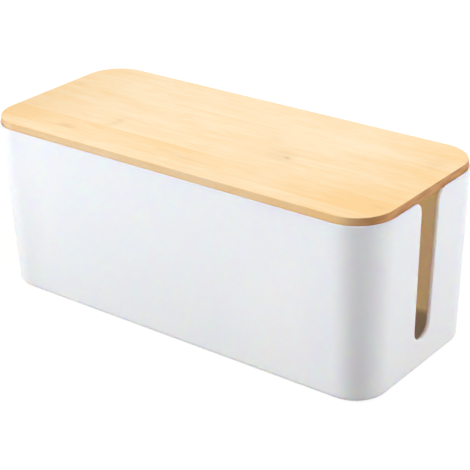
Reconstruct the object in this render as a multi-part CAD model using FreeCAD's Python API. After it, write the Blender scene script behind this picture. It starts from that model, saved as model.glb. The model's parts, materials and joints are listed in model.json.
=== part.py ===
"""Cable management box: a moulded plastic tub with a cable slot in each end and a lift-off bamboo lid.

A power strip lies on the floor of the tub, and its leads go out through the two end slots. The lid lies
in a rebate round the rim, and a finger hooked under it at a slot lifts it off. It is glued up from
strips of bamboo that run along the box. Four rubber pads sit in sockets under the tub.

Frame, in millimetres: +X along the box, +Y to its back, +Z up. The origin is under the middle of the
box, on the surface that the pads stand on.
"""

import FreeCAD
import Part

import math
import os

V = FreeCAD.Vector

# Tub, measured over its outside at the rim
BOX_LENGTH = 320.0
BOX_WIDTH = 136.0
TUB_HEIGHT = 122.4  # from the tub's underside to its rim
CORNER_RADIUS = 27.5
WALL_LEAN = 4.6  # mould draft: how far each wall comes in from the rim to the underside
WALL = 2.8
FLOOR = 3.0
UNDER_EDGE_RADIUS = 3.0
FLOOR_EDGE_RADIUS = 5.0
MOUTH_RADIUS = 0.6  # rounding of the rim's outer edge, which runs on round each slot
SLOT_CHAMFER = 0.4  # on the slots' inner edges

# Rebate in the rim that holds the lid
LIP = 1.1  # what is left of the wall beside the rebate
LIP_CHAMFER = 0.25
REBATE_DEPTH = 1.0
LID_CLEARANCE = 0.4

# Cable slots, one in each end wall, open at the rim
SLOT_MOUTH_WIDTH = 21.0  # between the straight sides, if they ran on up to the rim
SLOT_FOOT_WIDTH = 18.4
SLOT_SILL = 21.0  # height of a slot's lowest point above the tub's underside
SLOT_SHOULDER = 8.0  # radius where a slot's sides roll over into the rim

# Bamboo lid
LID_THICKNESS = 5.8
LID_TOP_CHAMFER = 0.7
LID_UNDER_CHAMFER = 0.3
STRIP_COUNT = 7
FRONT_STRIP_SHARE = 0.6  # the front strip is ripped to this share of the others' width

# Rubber pads under the tub
PAD_DIAMETER = 14.0
PAD_THICKNESS = 2.0
PAD_CHAMFER = 0.4
SOCKET_DEPTH = 1.2
SOCKET_CLEARANCE = 0.3
PAD_FROM_END = 34.0  # from the outside of the end wall to a pad's centre
PAD_FROM_SIDE = 26.0

# Moulding gate in the middle of the underside
DIMPLE_DIAMETER = 10.0
DIMPLE_DEPTH = 0.6
STUB_DIAMETER = 2.6  # what the trimmed sprue leaves standing in the dimple
STUB_HEIGHT = 0.4

OVERRUN = 5.0  # how far a cutter runs past the face that it starts or ends on
NEAR = 0.005  # closer than this, two places count as the same

UNDERSIDE = PAD_THICKNESS - SOCKET_DEPTH
RIM = UNDERSIDE + TUB_HEIGHT
FLOOR_TOP = UNDERSIDE + FLOOR
SLOT_LOWEST = UNDERSIDE + SLOT_SILL
LID_SEAT = RIM - REBATE_DEPTH
LID_TOP = LID_SEAT + LID_THICKNESS
LID_INSET = LIP + LID_CLEARANCE


def rounded_outline(inset, z):
    """The tub's plan at the rim, brought in by inset all round, as a closed wire at height z."""
    radius = CORNER_RADIUS - inset
    centre_x = BOX_LENGTH / 2 - CORNER_RADIUS
    centre_y = BOX_WIDTH / 2 - CORNER_RADIUS
    corners = []
    for x_side, y_side, start in ((1, 1, 0), (-1, 1, 90), (-1, -1, 180), (1, -1, 270)):
        centre = V(x_side * centre_x, y_side * centre_y, z)
        arc = []
        for turn in (0, 45, 90):
            angle = math.radians(start + turn)
            arc.append(centre + V(math.cos(angle), math.sin(angle), 0) * radius)
        corners.append(arc)
    edges = []
    for arc, next_arc in zip(corners, corners[1:] + corners[:1]):
        edges.append(Part.Arc(*arc).toShape())
        edges.append(Part.LineSegment(arc[-1], next_arc[0]).toShape())
    return Part.Wire(edges)


def drafted_block(inset, low, high):
    """A solid between two heights whose sides lean as the tub's walls do, inset from their outside."""
    outlines = []
    for z in (low, high):
        lean = (RIM - z) * WALL_LEAN / TUB_HEIGHT
        outlines.append(rounded_outline(inset + lean, z))
    return Part.makeLoft(outlines, True, True)


def upright_block(inset, low, high):
    """A solid between two heights with upright sides, inset from the rim's outline."""
    return Part.Face(rounded_outline(inset, low)).extrude(V(0, 0, high - low))


def edges_at(shape, z):
    """The edges of a shape that lie flat at height z."""
    flat = []
    for edge in shape.Edges:
        box = edge.BoundBox
        if abs(box.ZMin - z) < NEAR and abs(box.ZMax - z) < NEAR:
            flat.append(edge)
    return flat


def slot_side():
    """The points of a slot's back side, on the plane X = 0, from the foot of the slot to the rim.

    The side leans out from the round foot to the mouth, then rolls over a shoulder into the rim.
    """
    foot_radius = SLOT_FOOT_WIDTH / 2
    foot_z = SLOT_LOWEST + foot_radius
    mouth_y = SLOT_MOUTH_WIDTH / 2
    rise = RIM - foot_z
    lean = math.acos(foot_radius / math.hypot(mouth_y, rise)) - math.atan2(rise, mouth_y)
    outward = V(0, math.cos(lean), -math.sin(lean))
    foot_end = V(0, 0, foot_z) + outward * foot_radius

    shoulder_z = RIM - SLOT_SHOULDER
    climb = shoulder_z - foot_end.z
    shoulder_y = foot_end.y + (SLOT_SHOULDER + climb * math.sin(lean)) / math.cos(lean)
    centre = V(0, shoulder_y, shoulder_z)
    half_way = (V(0, 0, 1) - outward).normalize()
    shoulder = [centre - outward * SLOT_SHOULDER, centre + half_way * SLOT_SHOULDER, V(0, shoulder_y, RIM)]
    return [foot_end] + shoulder


def slot_cutter():
    """One profile that cuts both cable slots, run along the whole box."""
    back = slot_side()
    back.append(back[-1] + V(0, 0, OVERRUN))
    front = [V(0, -point.y, point.z) for point in back]
    curves = [Part.Arc(front[0], V(0, 0, SLOT_LOWEST), back[0])]
    for side in (front, back):
        foot_end, shoulder_start, shoulder_middle, shoulder_end, above = side
        curves.append(Part.LineSegment(foot_end, shoulder_start))
        curves.append(Part.Arc(shoulder_start, shoulder_middle, shoulder_end))
        curves.append(Part.LineSegment(shoulder_end, above))
    curves.append(Part.LineSegment(front[-1], back[-1]))
    outline = Part.Wire(Part.__sortEdges__([curve.toShape() for curve in curves]))
    reach = V(BOX_LENGTH / 2 + OVERRUN, 0, 0)
    return Part.Face(outline).translated(-reach).extrude(reach * 2)


def mouth_edges(tub, wall):
    """The edges where a tub's rim and slots meet one side of its wall, which a block is given for."""
    slot_reach = slot_side()[-1].y + MOUTH_RADIUS
    sides = Part.makeCompound([face for face in wall.Faces if face.BoundBox.ZLength > NEAR])
    found = {}
    for face in tub.Faces:
        box = face.BoundBox
        in_rim = box.ZMin > RIM - NEAR
        in_slot = box.ZMin > SLOT_LOWEST - MOUTH_RADIUS and box.YMax < slot_reach and box.YMin > -slot_reach
        if in_rim or in_slot:
            for edge in face.Edges:
                middle = edge.valueAt((edge.FirstParameter + edge.LastParameter) / 2)
                if Part.Vertex(middle).distToShape(sides)[0] < NEAR:
                    found[edge.hashCode()] = edge
    return list(found.values())


def pad_places():
    """Each pad's name, with its centre on the surface that the box stands on."""
    x = BOX_LENGTH / 2 - PAD_FROM_END
    y = BOX_WIDTH / 2 - PAD_FROM_SIDE
    places = {}
    for row, y_side in (("front", -1), ("back", 1)):
        for end, x_side in (("left", -1), ("right", 1)):
            places["pad_" + row + "_" + end] = V(x_side * x, y_side * y, 0)
    return places


def make_tub():
    """The one-piece moulding: leaning walls, rebated rim, two cable slots and four pad sockets.

    Each cut is eased before the next one, so that one rounding runs from the rim over the slot's
    shoulders and round its foot.
    """
    outside = drafted_block(0, UNDERSIDE, RIM)
    cavity = drafted_block(WALL, FLOOR_TOP, RIM + OVERRUN)
    rebate = upright_block(LIP, LID_SEAT, RIM + OVERRUN)

    tub = outside.makeFillet(UNDER_EDGE_RADIUS, edges_at(outside, UNDERSIDE)).cut(slot_cutter())
    tub = tub.makeFillet(MOUTH_RADIUS, mouth_edges(tub, outside))
    tub = tub.cut(cavity.makeFillet(FLOOR_EDGE_RADIUS, edges_at(cavity, FLOOR_TOP)))
    tub = tub.makeChamfer(SLOT_CHAMFER, mouth_edges(tub, cavity))
    tub = tub.cut(rebate)
    tub = tub.makeChamfer(LIP_CHAMFER, mouth_edges(tub, rebate))
    for place in pad_places().values():
        tub = tub.cut(Part.makeCylinder(PAD_DIAMETER / 2 + SOCKET_CLEARANCE, PAD_THICKNESS, place))
    return tub.cut(gate_dimple())


def gate_dimple():
    """What the gate leaves out of the underside: a shallow dimple round the stub of the sprue."""
    roof = UNDERSIDE + DIMPLE_DEPTH
    dimple = Part.makeCylinder(DIMPLE_DIAMETER / 2, DIMPLE_DEPTH, V(0, 0, UNDERSIDE))
    stub = Part.makeCylinder(STUB_DIAMETER / 2, STUB_HEIGHT, V(0, 0, roof - STUB_HEIGHT))
    return dimple.cut(stub)


def make_lid_strips():
    """The lid board, told apart into its glued strips, numbered from the front."""
    board = upright_block(LID_INSET, LID_SEAT, LID_TOP)
    board = board.makeChamfer(LID_TOP_CHAMFER, edges_at(board, LID_TOP))
    board = board.makeChamfer(LID_UNDER_CHAMFER, edges_at(board, LID_SEAT))

    lid_width = BOX_WIDTH - 2 * LID_INSET
    full_width = lid_width / (STRIP_COUNT - 1 + FRONT_STRIP_SHARE)
    strips = {}
    back = -lid_width / 2 + full_width * FRONT_STRIP_SHARE
    for number in range(1, STRIP_COUNT + 1):
        corner = V(-BOX_LENGTH / 2, back - full_width, LID_SEAT)
        strips["lid_strip_" + str(number)] = board.common(
            Part.makeBox(BOX_LENGTH, full_width, LID_THICKNESS, corner)
        )
        back += full_width
    return strips


def make_pads():
    """The rubber pads, each a disc with a chamfered tread that is stuck to the roof of its socket."""
    pads = {}
    for name, place in pad_places().items():
        pad = Part.makeCylinder(PAD_DIAMETER / 2, PAD_THICKNESS, place)
        pads[name] = pad.makeChamfer(PAD_CHAMFER, edges_at(pad, 0))
    return pads


def write_pieces(pieces):
    """Write each piece to a STEP file of its own, named after the piece."""
    os.makedirs("parts", exist_ok=True)
    for name, shape in pieces.items():
        solid = shape.Solids[0]
        solid.exportStep("parts/" + name + ".step")
        print(name, "solids", len(shape.Solids), "valid", solid.isValid(), "volume", round(solid.Volume, 1))


write_pieces({"tub": make_tub(), **make_lid_strips(), **make_pads()})
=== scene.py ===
"""Looks of the cable management box: a white moulded tub under a lacquered bamboo lid.

All sizes are in metres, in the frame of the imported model: +X along the box, +Y to its back, +Z up.
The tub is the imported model's own solid in a moulded plastic. The lid's glued strips and the rubber pads
are made here by Geometry Nodes, from the places of the nodes that they stand for.
"""

import json
import math

import bpy
from mathutils import Matrix, Vector


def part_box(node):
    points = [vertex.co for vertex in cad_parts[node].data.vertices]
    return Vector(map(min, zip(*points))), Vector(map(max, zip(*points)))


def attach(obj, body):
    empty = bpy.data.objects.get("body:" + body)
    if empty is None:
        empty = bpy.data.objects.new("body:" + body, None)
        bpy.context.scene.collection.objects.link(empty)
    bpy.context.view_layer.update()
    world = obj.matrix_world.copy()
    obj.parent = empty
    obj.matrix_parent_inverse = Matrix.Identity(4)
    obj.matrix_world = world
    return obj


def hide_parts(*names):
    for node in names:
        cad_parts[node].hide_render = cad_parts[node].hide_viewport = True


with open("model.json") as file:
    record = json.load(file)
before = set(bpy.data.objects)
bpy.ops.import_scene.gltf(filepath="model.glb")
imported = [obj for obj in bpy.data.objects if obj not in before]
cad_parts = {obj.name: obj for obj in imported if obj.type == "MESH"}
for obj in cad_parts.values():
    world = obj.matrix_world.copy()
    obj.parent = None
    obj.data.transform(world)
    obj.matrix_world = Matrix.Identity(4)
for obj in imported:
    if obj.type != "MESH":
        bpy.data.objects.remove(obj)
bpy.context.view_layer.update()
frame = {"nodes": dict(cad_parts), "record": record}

MM = 0.001

# Camera, as fitted to the edges of the box in the photograph
FRAME_PIXELS = 470
FOCAL_PIXELS = 1468.83
SENSOR_WIDTH = 36.0  # the camera's own millimetres
CAMERA_PLACE = Vector((570.66, -713.01, 487.0)) * MM
CAMERA_AZIMUTH = math.radians(38.33)
CAMERA_ELEVATION = math.radians(25.42)
CAMERA_ROLL = math.radians(-1.6)
CAMERA_CLIP_START = 0.01

# Light
LIGHT_COLOUR = (1.0, 0.94, 0.912)
AMBIENT = 0.702  # strength of what comes from all round
MAX_BOUNCES = 52  # inside a white tub, light passes many times from wall to wall
DIFFUSE_BOUNCES = 48

# Softboxes: name, place, width, height and power in watts
LAMP_AIM = Vector((0, 0, 0.06))  # about the middle of the box
LAMPS = (
    ("left_softbox", Vector((-1.9, -1.31, 0.9)), 0.78, 0.9, 48.0),
    ("right_softbox", Vector((1.2, 0.95, 0.6)), 0.6, 0.7, 12.4),
    ("top_softbox", Vector((-0.1, 0.15, 1.5)), 1.4, 1.0, 3.0),
)

# The flag, a panel that stands between the left softbox and the box's left end: the X and Y of its ends
FLAG_ENDS = ((-0.256, -0.134), (-0.378, 0.041))
FLAG_HEIGHT = 0.178

# Floor: the light that it throws back grows with the distance from the centre of its shade
FLOOR_SIZE = 12.0
FLOOR_SHADE_CENTRE = (0.14, 0, 0)
NEAR_FLOOR = 0.22
FAR_FLOOR = 0.5
NEAR_BOUNCE = 0.4
FAR_BOUNCE = 0.8
SEEN_FLOOR = 0.22  # the floor's colour where it is seen, which shows the box's shadow
FLOOR_GLOW = 0.84  # what makes it white there

# Lid board
STRIP_NODES = frame["record"]["behaviour"]["bodies"]["lid"]
LID_CORNER_RADIUS = 26.0 * MM
LID_TOP_ARRIS = 0.5 * MM
LID_UNDER_ARRIS = 0.35 * MM

# Mesh of a strip: vertices along it and across it, and rows of faces up its side, which go round its
# lower arris, up its flat side and round its upper arris
STRIP_VERTICES_ALONG = 9
STRIP_VERTICES_ACROSS = 17
UNDER_ROWS = 3
SIDE_ROWS = 2
TOP_ROWS = 6
STRIP_ROWS = UNDER_ROWS + SIDE_ROWS + TOP_ROWS

# Rubber pads
PAD_NODES = [name for name in frame["record"]["behaviour"]["bodies"]["box"] if name.startswith("pad_")]
PAD_EDGE_RADIUS = 0.5 * MM
PAD_GROOVE_DEPTH = 0.35 * MM
PAD_GROOVES = 3
TREAD_LEVEL = 0.01 * MM  # what is lower than this lies in the tread

# Mesh of a pad: sides round it, rings across it and steps up its edge
PAD_SIDES = 48
PAD_RINGS = 24
PAD_STEPS = 5

SHARP_ANGLE = math.radians(40)  # an edge whose faces turn by more than this stays sharp

# Moulded plastic
PLASTIC_COLOURS = ((0.989, 0.962, 0.931), (0.995, 0.968, 0.939))
PLASTIC_ROUGHNESS = (0.38, 0.5)
PLASTIC_GLOSS = 0.4
CLOUD_SCALE = (14, 14, 14)  # noise scale of the faint clouds in its colour
SKIN_SCALE = (2200, 2200, 2200)  # noise scale of its fine skin
SKIN_DEPTH = 0.03 * MM
SOAK_REACH = 9 * MM  # how far light soaks in
SOAK_SHARES = (1.0, 0.55, 0.21)  # share of that reach for red, green and blue

# Bamboo
PALE_BAMBOO = (0.825, 0.715, 0.505)
DEEP_BAMBOO = (0.81, 0.576, 0.269)
FLECK_COLOUR = (0.62, 0.42, 0.2)
KNUCKLE_COLOUR = (0.56, 0.37, 0.16)
SIDE_SHADE_TINT = (0.82, 0.79, 0.78)  # painted shade: darkens the board's long edges
PALE_END_GRAIN = (0.6, 0.335, 0.14)
DEEP_END_GRAIN = (0.45, 0.225, 0.085)
END_MOTTLE = (0.74, 0.7, 0.62)
FLECK_SHARE = 0.2  # how far the bamboo goes over to a fleck's colour in its middle
KNUCKLE_SHARE = 0.6  # how far to a knuckle's colour, at a strength of 1
BAMBOO_ROUGHNESS = (0.44, 0.59)
BAMBOO_GLOSS = 0.35
FIBRE_DEPTH = 0.04 * MM

# How deep the bamboo of each strip is in tone, from the front strip to the back one
STRIP_TONES = (0.32, 0.58, 0.3, 0.2, 0.2, 0.14, 0.26)

# Grain of the bamboo: name, noise scale along, across and up, detail, roughness, and swing in tone
GRAINS = (
    ("blotches", (12, 60, 60), 2, 0.5, 1.1),
    ("patches", (55, 260, 260), 3, 0.6, 1.0),
    ("bands", (5, 260, 260), 3, 0.6, 0.5),
    ("fibres", (22, 1500, 1500), 2, 0.5, 0.15),
)

# Noise scales of what else marks the bamboo, along, across and up
FLECK_SCALE = (70, 2800, 2800)
FRAY_SCALE = (90, 500, 500)
PORE_SCALE = (400, 1700, 1700)
MOTTLE_SCALE = (75, 75, 330)

# Painted sheen: the lid is palest at this X, and deepens by this much between these distances from it
PALEST_X = -10 * MM
ENDS_DEEPER = 0.5
DEEPENS_FROM = 80 * MM
DEEPENS_TO = 170 * MM

# A glue line is deeper by this much, which fades within this share of a strip's width
GLUE_DEEPER = 0.25
GLUE_FADE = 0.035

# Marks of the bamboo's knuckles on the lid, in millimetres: place along X and Y, half the mark's length
# and half its width. The last number is the mark's strength.
KNUCKLES = (
    (59.5, -11.0, 3.0, 2.2, 0.9),
    (54.0, -9.0, 11.0, 9.0, 0.4),
    (-100.0, -48.5, 7.0, 3.0, 0.6),
    (-74.0, -24.0, 2.2, 10.0, 0.45),
    (-149.0, 20.0, 6.0, 3.0, 0.4),
    (3.0, -48.0, 14.0, 5.0, 0.3),
    (35.0, 12.0, 7.0, 4.0, 0.25),
    (143.0, 33.0, 6.0, 8.0, 0.5),
    (150.0, -42.0, 5.0, 2.5, 0.45),
)
FRAY_ALONG = 14 * MM  # how far a mark's outline frays along the grain, and across it
FRAY_ACROSS = 5 * MM

# Pad rubber
RUBBER_COLOURS = ((0.27, 0.27, 0.28), (0.36, 0.36, 0.37))
RUBBER_ROUGHNESS = 0.85
RUBBER_GRAIN_SCALE = (1800, 1800, 1800)
RUBBER_GRAIN_DEPTH = 0.05 * MM


class Tree:
    """Short ways to add nodes to a node tree and to join them."""

    def __init__(self, nodes_of):
        self.tree = nodes_of

    def add(self, kind, inputs=None, **settings):
        """A new node with its settings made, and its inputs fed with values or other nodes' outputs."""
        node = self.tree.nodes.new(kind)
        for name, value in settings.items():
            setattr(node, name, value)
        for name, value in (inputs or {}).items():
            self.feed(node.inputs[name], value)
        return node

    def feed(self, socket, value):
        """Join an output to a socket, or write a plain value in it. A colour gets its alpha here."""
        if isinstance(value, bpy.types.NodeSocket):
            self.tree.links.new(value, socket)
        elif socket.type == "RGBA":
            socket.default_value = (*value, 1)
        else:
            socket.default_value = value

    def math(self, operation, *values, clamp=False):
        """The result of a Math node."""
        node = self.add("ShaderNodeMath", operation=operation, use_clamp=clamp)
        for socket, value in zip(node.inputs, values):
            self.feed(socket, value)
        return node.outputs[0]

    def vector_math(self, operation, *values, output="Vector"):
        """The result of a Vector Math node, which is its output Value where the result is a number."""
        node = self.add("ShaderNodeVectorMath", operation=operation)
        for socket, value in zip(node.inputs, values):
            self.feed(socket, value)
        return node.outputs[output]

    def split(self, vector):
        """The X, Y and Z of a vector."""
        return self.add("ShaderNodeSeparateXYZ", {"Vector": vector}).outputs

    def between(self, share, low, high):
        """Low where the share is 0, high where it is 1, and evenly between them."""
        return self.math("MULTIPLY_ADD", share, high - low, low)

    def ease(self, value, low, high):
        """0 below low, 1 above high, and a smooth step between them."""
        node = self.add(
            "ShaderNodeMapRange",
            {"Value": value, "From Min": low, "From Max": high},
            interpolation_type="SMOOTHSTEP",
        )
        return node.outputs["Result"]

    def mix(self, share, first, second, blend_type="MIX"):
        """Two colours mixed, with share of the second."""
        node = self.add("ShaderNodeMix", data_type="RGBA", blend_type=blend_type)
        self.feed(node.inputs[0], share)
        self.feed(node.inputs[6], first)
        self.feed(node.inputs[7], second)
        return node.outputs[2]

    def noise(self, place, scale, detail=2.0, roughness=0.5):
        """A noise value from 0 to 1, stretched by a scale for each axis."""
        stretched = self.vector_math("MULTIPLY", place, scale)
        node = self.add(
            "ShaderNodeTexNoise",
            {"Vector": stretched, "Scale": 1.0, "Detail": detail, "Roughness": roughness},
        )
        return node.outputs[0]


def grey(level):
    """A neutral colour."""
    return (level, level, level)


def add_object(name, data):
    """A new object in the scene."""
    added = bpy.data.objects.new(name, data)
    bpy.context.scene.collection.objects.link(added)
    return added


def new_material(name):
    """A material with one Principled shader, its node tree, and the place on the piece."""
    material = bpy.data.materials.new(name)
    material.use_nodes = True
    shader = material.node_tree.nodes["Principled BSDF"]
    tree = Tree(material.node_tree)
    place = tree.add("ShaderNodeTexCoord").outputs["Object"]
    return material, shader, tree, place


def end_material(tree, shader, colour, roughness, relief, strength, depth):
    """Give a shader its colour, its roughness and a fine relief."""
    tree.feed(shader.inputs["Base Color"], colour)
    tree.feed(shader.inputs["Roughness"], roughness)
    bump = tree.add("ShaderNodeBump", {"Height": relief, "Strength": strength, "Distance": depth})
    tree.feed(shader.inputs["Normal"], bump.outputs[0])


def moulded_plastic():
    """White plastic with a satin skin, which lets a little warm light soak through its wall."""
    material, shader, tree, place = new_material("moulded_white_plastic")
    shader.inputs["Subsurface Weight"].default_value = 1.0
    shader.inputs["Subsurface Radius"].default_value = SOAK_SHARES
    shader.inputs["Subsurface Scale"].default_value = SOAK_REACH
    shader.inputs["Specular IOR Level"].default_value = PLASTIC_GLOSS

    colour = tree.mix(tree.noise(place, CLOUD_SCALE, detail=3), *PLASTIC_COLOURS)
    skin = tree.noise(place, SKIN_SCALE)
    roughness = tree.between(skin, *PLASTIC_ROUGHNESS)
    end_material(tree, shader, colour, roughness, skin, strength=0.12, depth=SKIN_DEPTH)
    return material


def knuckle_group():
    """A node group for one knuckle: a soft dark mark of a given length and width round its place."""
    group = bpy.data.node_groups.new("knuckle", "ShaderNodeTree")
    for name in ("Along", "Across", "Place X", "Place Y", "Half Length", "Half Width", "Strength"):
        group.interface.new_socket(name=name, in_out="INPUT", socket_type="NodeSocketFloat")
    group.interface.new_socket(name="Mark", in_out="OUTPUT", socket_type="NodeSocketFloat")
    tree = Tree(group)
    given = tree.add("NodeGroupInput").outputs
    fall = 0.0
    for here, middle, reach in (("Along", "Place X", "Half Length"), ("Across", "Place Y", "Half Width")):
        steps = tree.math("DIVIDE", tree.math("SUBTRACT", given[here], given[middle]), given[reach])
        fall = tree.math("MULTIPLY_ADD", steps, steps, fall)
    bell = tree.math("EXPONENT", tree.math("MULTIPLY", fall, -1.0))
    tree.add("NodeGroupOutput", {"Mark": tree.math("MULTIPLY", bell, given["Strength"])})
    return group


def knuckle_marks(tree, place, own_place, bands):
    """How dark the knuckles make the bamboo: marks that fray along the grain and fade with its bands."""
    fray = tree.math("SUBTRACT", tree.noise(own_place, FRAY_SCALE, detail=3), 0.5)
    parts = tree.split(place)
    along = tree.math("MULTIPLY_ADD", fray, FRAY_ALONG, parts["X"])
    across = tree.math("MULTIPLY_ADD", fray, FRAY_ACROSS, parts["Y"])
    group = knuckle_group()
    marks = 0.0
    for x, y, half_length, half_width, strength in KNUCKLES:
        inputs = {
            "Along": along,
            "Across": across,
            "Place X": x * MM,
            "Place Y": y * MM,
            "Half Length": half_length * MM,
            "Half Width": half_width * MM,
            "Strength": strength,
        }
        knuckle = tree.add("ShaderNodeGroup", inputs, node_tree=group)
        marks = tree.math("ADD", marks, knuckle.outputs["Mark"])
    return tree.math("MULTIPLY", marks, tree.ease(bands, low=0.2, high=0.6))


def strip_value(tree, name):
    """A value that the mesh of the strips carries, by its name."""
    return tree.add("ShaderNodeAttribute", attribute_name=name).outputs["Fac"]


def bamboo_depth(tree, place, own_place):
    """How deep the bamboo is in tone, from 0 to 1, and the noises that make its grain, by name.

    A strip's own tone swings with the grain, and is deeper at the glue. A painted sheen makes it paler
    about PALEST_X and deeper towards the lid's ends.
    """
    grains = {}
    depth = strip_value(tree, "strip_tone")
    for name, scale, detail, roughness, swing in GRAINS:
        grains[name] = tree.noise(own_place, scale, detail, roughness)
        depth = tree.math("MULTIPLY_ADD", tree.math("SUBTRACT", grains[name], 0.5), swing, depth)
    # Painted sheen: palest about PALEST_X, deeper towards the lid's ends
    from_palest = tree.math("ABSOLUTE", tree.math("SUBTRACT", tree.split(place)["X"], PALEST_X))
    ends = tree.ease(from_palest, DEEPENS_FROM, DEEPENS_TO)
    depth = tree.math("MULTIPLY_ADD", ends, ENDS_DEEPER, depth)
    from_glue = tree.math("PINGPONG", strip_value(tree, "strip_across"), 0.5)
    glue = tree.math("SUBTRACT", 1.0, tree.ease(from_glue, 0.0, GLUE_FADE))
    return tree.math("MULTIPLY_ADD", glue, GLUE_DEEPER, depth, clamp=True), grains


def end_grain(tree, place):
    """The colour of the bamboo's cut ends: fine pores and a mottle."""
    colour = tree.mix(tree.noise(place, PORE_SCALE), PALE_END_GRAIN, DEEP_END_GRAIN)
    mottle = tree.ease(tree.noise(place, MOTTLE_SCALE), low=0.3, high=0.7)
    return tree.mix(mottle, colour, END_MOTTLE, "MULTIPLY")


def bamboo():
    """Sanded bamboo under a satin lacquer, with dark flecks, knuckles and end grain, painted shade on its
    long edges and a painted sheen.
    """
    material, shader, tree, place = new_material("lacquered_bamboo")
    number = strip_value(tree, "strip_number")
    chance = tree.add("ShaderNodeTexWhiteNoise", {"W": number}, noise_dimensions="1D")
    own_place = tree.vector_math("ADD", place, chance.outputs["Color"])

    depth, grains = bamboo_depth(tree, place, own_place)
    colour = tree.mix(depth, PALE_BAMBOO, DEEP_BAMBOO)
    flecks = tree.ease(tree.noise(own_place, FLECK_SCALE, detail=1), low=0.62, high=0.78)
    colour = tree.mix(tree.math("MULTIPLY", flecks, FLECK_SHARE), colour, FLECK_COLOUR)
    marks = knuckle_marks(tree, place, own_place, grains["bands"])
    colour = tree.mix(tree.math("MULTIPLY", marks, KNUCKLE_SHARE), colour, KNUCKLE_COLOUR)

    facing = tree.split(tree.add("ShaderNodeTexCoord").outputs["Normal"])
    # Painted shade: the board's front and back edges are darker by how they face
    side_shade = tree.ease(tree.math("ABSOLUTE", facing["Y"]), low=0.3, high=0.9)
    colour = tree.mix(side_shade, colour, SIDE_SHADE_TINT, "MULTIPLY")
    end = tree.ease(tree.math("ABSOLUTE", facing["X"]), low=0.15, high=0.8)
    colour = tree.mix(end, colour, end_grain(tree, place))

    shader.inputs["Specular IOR Level"].default_value = BAMBOO_GLOSS
    roughness = tree.between(grains["fibres"], *BAMBOO_ROUGHNESS)
    relief = tree.math("MULTIPLY_ADD", flecks, -0.5, grains["fibres"])
    end_material(tree, shader, colour, roughness, relief, strength=0.2, depth=FIBRE_DEPTH)
    return material


def pad_rubber():
    """Matt grey rubber with a fine grain."""
    material, shader, tree, place = new_material("matt_grey_rubber")
    grain = tree.noise(place, RUBBER_GRAIN_SCALE, detail=3)
    colour = tree.mix(grain, *RUBBER_COLOURS)
    end_material(tree, shader, colour, RUBBER_ROUGHNESS, grain, strength=0.3, depth=RUBBER_GRAIN_DEPTH)
    return material


def new_geometry_tree(name, sizes):
    """A Geometry Nodes group that takes these sizes and a material, with its tree and its inputs."""
    group = bpy.data.node_groups.new(name, "GeometryNodeTree")
    group.interface.new_socket(name="Geometry", in_out="OUTPUT", socket_type="NodeSocketGeometry")
    for size in sizes:
        group.interface.new_socket(name=size, in_out="INPUT", socket_type="NodeSocketFloat")
    group.interface.new_socket(name="Material", in_out="INPUT", socket_type="NodeSocketMaterial")
    tree = Tree(group)
    return group, tree, tree.add("NodeGroupInput").outputs


def end_tree(tree, geometry, material):
    """Smooth shading with sharp edges kept, then real geometry and its material."""
    angle = tree.add("GeometryNodeInputMeshEdgeAngle").outputs["Unsigned Angle"]
    smooth = tree.add("GeometryNodeSetShadeSmooth", {"Geometry": geometry}, domain="FACE")
    edges = tree.add(
        "GeometryNodeSetShadeSmooth",
        {
            "Geometry": smooth.outputs[0],
            "Selection": tree.math("GREATER_THAN", angle, SHARP_ANGLE),
            "Shade Smooth": False,
        },
        domain="EDGE",
    )
    real = tree.add("GeometryNodeRealizeInstances", {"Geometry": edges.outputs[0]})
    painted = tree.add("GeometryNodeSetMaterial", {"Geometry": real.outputs[0], "Material": material})
    tree.add("NodeGroupOutput", {"Geometry": painted.outputs[0]})


def grown(name, group, values):
    """A plain mesh object made by a Geometry Nodes group from these input values."""
    seed = add_object(name + "_seed", bpy.data.meshes.new(name + "_seed"))
    modifier = seed.modifiers.new("grow", "NODES")
    modifier.node_group = group
    for item in group.interface.items_tree:
        if item.in_out == "INPUT":
            modifier[item.identifier] = values[item.name]
    weighted = seed.modifiers.new("weighted", "WEIGHTED_NORMAL")
    weighted.keep_sharp = True
    evaluated = seed.evaluated_get(bpy.context.evaluated_depsgraph_get())
    mesh = bpy.data.meshes.new_from_object(evaluated)
    mesh.name = name
    bpy.data.objects.remove(seed)
    return add_object(name, mesh)


def arc(tree, function, turn, radius):
    """A radius times the sine or the cosine of a turn."""
    return tree.math("MULTIPLY", tree.math(function, turn), radius)


def strip_profile(tree, given, up):
    """The inset and the height of a strip's side, from how far up the block a row of faces is.

    The rows go round the lower arris, up the flat side and round the upper arris.
    """
    under_share = UNDER_ROWS / STRIP_ROWS
    side_share = SIDE_ROWS / STRIP_ROWS
    top_start = under_share + side_share
    under = tree.math("DIVIDE", tree.math("SUBTRACT", under_share, up), under_share, clamp=True)
    under = tree.math("MULTIPLY", under, math.pi / 2)
    side = tree.math("DIVIDE", tree.math("SUBTRACT", up, under_share), side_share, clamp=True)
    top = tree.math("DIVIDE", tree.math("SUBTRACT", up, top_start), 1 - top_start, clamp=True)
    top = tree.math("MULTIPLY", top, math.pi / 2)

    inset = tree.math("SUBTRACT", given["Under Arris"], arc(tree, "COSINE", under, given["Under Arris"]))
    inset = tree.math("ADD", inset, given["Top Arris"])
    inset = tree.math("SUBTRACT", inset, arc(tree, "COSINE", top, given["Top Arris"]))
    flat = tree.math("SUBTRACT", given["Thickness"], given["Top Arris"])
    flat = tree.math("SUBTRACT", flat, given["Under Arris"])
    height = tree.math("ADD", given["Underside"], given["Under Arris"])
    height = tree.math("SUBTRACT", height, arc(tree, "SINE", under, given["Under Arris"]))
    height = tree.math("MULTIPLY_ADD", side, flat, height)
    height = tree.math("ADD", height, arc(tree, "SINE", top, given["Top Arris"]))
    return inset, height


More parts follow.
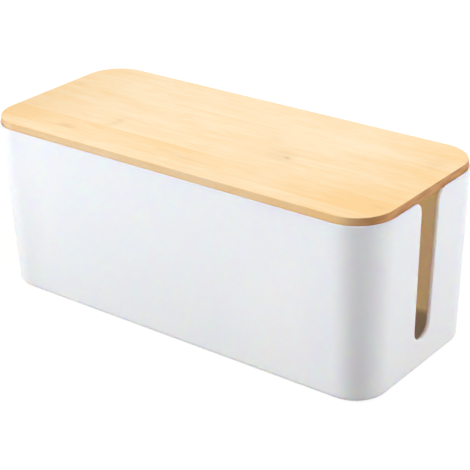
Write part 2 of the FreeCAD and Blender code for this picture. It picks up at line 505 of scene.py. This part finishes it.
def strip_plan(tree, given, along, across, inset):
    """The X and Y of a strip's points, which fill its stretch of the board's rounded outline.

    Across the board, a strip is measured along that outline, so that its rows of faces stay even round
    the corners.
    """
    radius = tree.math("SUBTRACT", given["Corner Radius"], inset)
    half_length = tree.math("MULTIPLY", given["Length"], 0.5)
    half_width = tree.math("MULTIPLY", given["Width"], 0.5)
    centre_x = tree.math("SUBTRACT", half_length, given["Corner Radius"])
    centre_y = tree.math("SUBTRACT", half_width, given["Corner Radius"])

    def along_outline(edge):
        """How far along the outline, from the middle of the board's end, a strip's edge meets it."""
        reach = tree.math("ABSOLUTE", edge)
        rise = tree.math("DIVIDE", tree.math("SUBTRACT", reach, centre_y), radius, clamp=True)
        run = tree.math("MULTIPLY", tree.math("ARCSINE", rise), given["Corner Radius"])
        run = tree.math("ADD", run, tree.math("MINIMUM", reach, centre_y))
        return tree.math("MULTIPLY", run, tree.math("SIGN", edge))

    front = along_outline(given["Front Edge"])
    back = along_outline(given["Back Edge"])
    run = tree.math("MULTIPLY_ADD", across, tree.math("SUBTRACT", back, front), front)
    reach = tree.math("ABSOLUTE", run)
    turn = tree.math("MAXIMUM", tree.math("SUBTRACT", reach, centre_y), 0.0)
    turn = tree.math("DIVIDE", turn, given["Corner Radius"])
    y = tree.math("ADD", tree.math("MINIMUM", reach, centre_y), arc(tree, "SINE", turn, radius))
    y = tree.math("MULTIPLY", y, tree.math("SIGN", run))
    x = tree.math("MULTIPLY", along, tree.math("ADD", centre_x, arc(tree, "COSINE", turn, radius)))
    return x, y


def strip_tree():
    """One glued strip of the lid board: a block, pushed into the stretch of the board that it fills."""
    group, tree, given = new_geometry_tree(
        "glued_strip",
        ("Length", "Width", "Thickness", "Underside", "Corner Radius", "Top Arris", "Under Arris",
         "Front Edge", "Back Edge", "Number", "Tone"),
    )
    marked = tree.add("GeometryNodeMeshCube", {
        "Vertices X": STRIP_VERTICES_ALONG,
        "Vertices Y": STRIP_VERTICES_ACROSS,
        "Vertices Z": STRIP_ROWS + 1,
    })

    # The block is 1 m each way about the origin: along goes from -1 to 1, across and up from 0 to 1
    place = tree.split(tree.add("GeometryNodeInputPosition").outputs[0])
    along = tree.math("MULTIPLY", place["X"], 2.0)
    across = tree.math("ADD", place["Y"], 0.5)
    up = tree.math("ADD", place["Z"], 0.5)
    inset, height = strip_profile(tree, given, up)
    x, y = strip_plan(tree, given, along, across, inset)

    carried = {"strip_number": given["Number"], "strip_tone": given["Tone"], "strip_across": across}
    for name, value in carried.items():
        marked = tree.add(
            "GeometryNodeStoreNamedAttribute",
            {"Geometry": marked.outputs[0], "Name": name, "Value": value},
            data_type="FLOAT",
            domain="POINT",
        )
    placed = tree.add("ShaderNodeCombineXYZ", {"X": x, "Y": y, "Z": height})
    pushed = tree.add(
        "GeometryNodeSetPosition",
        {"Geometry": marked.outputs[0], "Position": placed.outputs[0]},
    )
    end_tree(tree, pushed.outputs[0], given["Material"])
    return group


def make_lid():
    """The lid's strips, each in the place of its node and riding on the lid."""
    material = bamboo()
    group = strip_tree()
    boxes = [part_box(node) for node in STRIP_NODES]
    low = Vector([min(box[0][axis] for box in boxes) for axis in range(3)])
    high = Vector([max(box[1][axis] for box in boxes) for axis in range(3)])
    for number, (node, box, tone) in enumerate(zip(STRIP_NODES, boxes, STRIP_TONES), start=1):
        strip = grown("bamboo_strip_" + str(number), group, {
            "Length": high.x - low.x,
            "Width": high.y - low.y,
            "Thickness": high.z - low.z,
            "Underside": low.z,
            "Corner Radius": LID_CORNER_RADIUS,
            "Top Arris": LID_TOP_ARRIS,
            "Under Arris": LID_UNDER_ARRIS,
            "Front Edge": box[0].y,
            "Back Edge": box[1].y,
            "Number": float(number),
            "Tone": tone,
            "Material": material,
        })
        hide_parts(node)
        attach(strip, "lid")


def pad_lift(tree, given, place, radius):
    """How far a point of a pad is lifted from a plain disc about the origin.

    Every point goes up by half the thickness, and on from there where the edge is round or a groove runs.
    """
    half = tree.math("MULTIPLY", given["Thickness"], 0.5)
    level = tree.math("ADD", tree.split(place)["Z"], half)
    out = tree.vector_math("LENGTH", tree.vector_math("MULTIPLY", place, (1, 1, 0)), output="Value")

    waves = tree.math("MULTIPLY", tree.math("DIVIDE", out, radius), given["Grooves"])
    wave = tree.math("COSINE", tree.math("MULTIPLY", waves, math.tau))
    groove = tree.math("MULTIPLY_ADD", wave, -0.5, 0.5)
    groove = tree.math("MULTIPLY", groove, given["Groove Depth"])

    past = tree.math("SUBTRACT", tree.math("ADD", out, given["Edge Radius"]), radius)
    past = tree.math("DIVIDE", past, given["Edge Radius"], clamp=True)
    chord = tree.math("SQRT", tree.math("SUBTRACT", 1.0, tree.math("MULTIPLY", past, past)))
    rounding = tree.math("MULTIPLY", tree.math("SUBTRACT", 1.0, chord), given["Edge Radius"])

    near_tread = tree.math("DIVIDE", level, given["Thickness"])
    near_tread = tree.math("SUBTRACT", 1.0, near_tread, clamp=True)
    in_tread = tree.math("LESS_THAN", level, TREAD_LEVEL)
    lift = tree.math("MULTIPLY", rounding, near_tread)
    lift = tree.math("MULTIPLY_ADD", groove, in_tread, lift)
    return tree.math("ADD", lift, half)


def pad_tree():
    """Four rubber pads on the corners of a grid: discs with a rounded edge and a grooved tread."""
    group, tree, given = new_geometry_tree(
        "grooved_pads",
        ("Diameter", "Thickness", "Edge Radius", "Groove Depth", "Grooves", "Spacing X", "Spacing Y"),
    )
    radius = tree.math("MULTIPLY", given["Diameter"], 0.5)
    disc = tree.add(
        "GeometryNodeMeshCylinder",
        {
            "Vertices": PAD_SIDES,
            "Side Segments": PAD_STEPS,
            "Fill Segments": PAD_RINGS,
            "Radius": radius,
            "Depth": given["Thickness"],
        },
        fill_type="TRIANGLE_FAN",
    )
    place = tree.add("GeometryNodeInputPosition").outputs[0]
    offset = tree.add("ShaderNodeCombineXYZ", {"Z": pad_lift(tree, given, place, radius)})
    shaped = tree.add(
        "GeometryNodeSetPosition",
        {"Geometry": disc.outputs["Mesh"], "Offset": offset.outputs[0]},
    )

    corners = tree.add(
        "GeometryNodeMeshGrid",
        {"Size X": given["Spacing X"], "Size Y": given["Spacing Y"], "Vertices X": 2, "Vertices Y": 2},
    )
    pads = tree.add(
        "GeometryNodeInstanceOnPoints",
        {"Points": corners.outputs["Mesh"], "Instance": shaped.outputs[0]},
    )
    real = tree.add("GeometryNodeRealizeInstances", {"Geometry": pads.outputs[0]})
    end_tree(tree, real.outputs[0], given["Material"])
    return group


def make_pads():
    """The rubber pads in their sockets under the tub."""
    boxes = [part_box(node) for node in PAD_NODES]
    first_low, first_high = boxes[0]
    centres = [(low + high) / 2 for low, high in boxes]
    pads = grown("rubber_pads", pad_tree(), {
        "Diameter": first_high.x - first_low.x,
        "Thickness": first_high.z - first_low.z,
        "Edge Radius": PAD_EDGE_RADIUS,
        "Groove Depth": PAD_GROOVE_DEPTH,
        "Grooves": float(PAD_GROOVES),
        "Spacing X": max(c.x for c in centres) - min(c.x for c in centres),
        "Spacing Y": max(c.y for c in centres) - min(c.y for c in centres),
        "Material": pad_rubber(),
    })
    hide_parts(*PAD_NODES)
    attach(pads, "box")


def dress_tub():
    """The tub keeps its own solid and takes the moulded plastic."""
    frame["nodes"]["tub"].data.materials[0] = moulded_plastic()


def seen_directly(tree):
    """1 for what the camera sees, also in a gloss or through glass, and 0 for light on its way."""
    path = tree.add("ShaderNodeLightPath").outputs
    seen = tree.math("MAXIMUM", path["Is Camera Ray"], path["Is Glossy Ray"])
    return tree.math("MAXIMUM", seen, path["Is Transmission Ray"])


def make_surroundings():
    """Even light from all round, which shows white behind the box."""
    world = bpy.data.worlds.new("white_room")
    bpy.context.scene.world = world
    world.use_nodes = True
    tree = Tree(world.node_tree)
    background = world.node_tree.nodes["Background"]
    seen = seen_directly(tree)
    tree.feed(background.inputs["Color"], tree.mix(seen, LIGHT_COLOUR, grey(1)))
    tree.feed(background.inputs["Strength"], tree.between(seen, AMBIENT, 1))


def flat_panel(name, corners):
    """A flat object with four corners."""
    mesh = bpy.data.meshes.new(name)
    mesh.from_pydata(corners, [], [(0, 1, 2, 3)])
    return add_object(name, mesh)


def make_floor():
    """A pale floor, white where it is seen, with the soft shadow of the box on it.

    It throws less light back near the box, which shades the foot of the walls.
    """
    half = FLOOR_SIZE / 2
    floor = flat_panel("floor", [(-half, -half, 0), (half, -half, 0), (half, half, 0), (-half, half, 0)])

    material = bpy.data.materials.new("pale_floor")
    material.use_nodes = True
    material.node_tree.nodes.clear()
    tree = Tree(material.node_tree)
    place = tree.add("ShaderNodeTexCoord").outputs["Object"]
    away = tree.vector_math("DISTANCE", place, FLOOR_SHADE_CENTRE, output="Value")
    bounce = tree.mix(tree.ease(away, NEAR_FLOOR, FAR_FLOOR), grey(NEAR_BOUNCE), grey(FAR_BOUNCE))
    seen = seen_directly(tree)
    lit = tree.add("ShaderNodeBsdfDiffuse", {"Color": tree.mix(seen, bounce, grey(SEEN_FLOOR))})
    glow = tree.add("ShaderNodeEmission", {"Strength": tree.math("MULTIPLY", seen, FLOOR_GLOW)})
    both = tree.add("ShaderNodeAddShader", {0: lit.outputs[0], 1: glow.outputs[0]})
    tree.add("ShaderNodeOutputMaterial", {"Surface": both.outputs[0]})
    floor.data.materials.append(material)


def make_flag():
    """A panel that only casts a shadow: it keeps most of the left softbox off the box's left end."""
    (x_one, y_one), (x_two, y_two) = FLAG_ENDS
    flag = flat_panel(
        "flag",
        [(x_one, y_one, 0), (x_two, y_two, 0), (x_two, y_two, FLAG_HEIGHT), (x_one, y_one, FLAG_HEIGHT)],
    )
    flag.visible_camera = False
    flag.visible_diffuse = False
    flag.visible_glossy = False
    flag.visible_transmission = False


def softbox(name, place, width, height, watts):
    """A soft area lamp, aimed at the box, that shows in none of its gloss."""
    lamp = bpy.data.lights.new(name, "AREA")
    lamp.shape = "RECTANGLE"
    lamp.size = width
    lamp.size_y = height
    lamp.energy = watts
    lamp.color = LIGHT_COLOUR
    box = add_object(name, lamp)
    turn = (LAMP_AIM - place).to_track_quat("-Z", "Y")
    box.matrix_world = Matrix.Translation(place) @ turn.to_matrix().to_4x4()
    box.visible_glossy = False


def make_camera():
    """The camera, where the photograph was taken from."""
    data = bpy.data.cameras.new("camera")
    data.sensor_width = SENSOR_WIDTH
    data.lens = FOCAL_PIXELS / FRAME_PIXELS * SENSOR_WIDTH
    data.clip_start = CAMERA_CLIP_START
    camera = add_object("camera", data)
    turn = Matrix.Rotation(CAMERA_AZIMUTH, 4, "Z")
    tilt = Matrix.Rotation(math.pi / 2 - CAMERA_ELEVATION, 4, "X")
    roll = Matrix.Rotation(CAMERA_ROLL, 4, "Z")
    camera.matrix_world = Matrix.Translation(CAMERA_PLACE) @ turn @ tilt @ roll
    bpy.context.scene.camera = camera


make_camera()
make_surroundings()
make_floor()
make_flag()
for lamp_row in LAMPS:
    softbox(*lamp_row)
dress_tub()
make_lid()
make_pads()

scene = bpy.context.scene
scene.view_settings.view_transform = "Standard"
scene.cycles.max_bounces = MAX_BOUNCES
scene.cycles.diffuse_bounces = DIFFUSE_BOUNCES
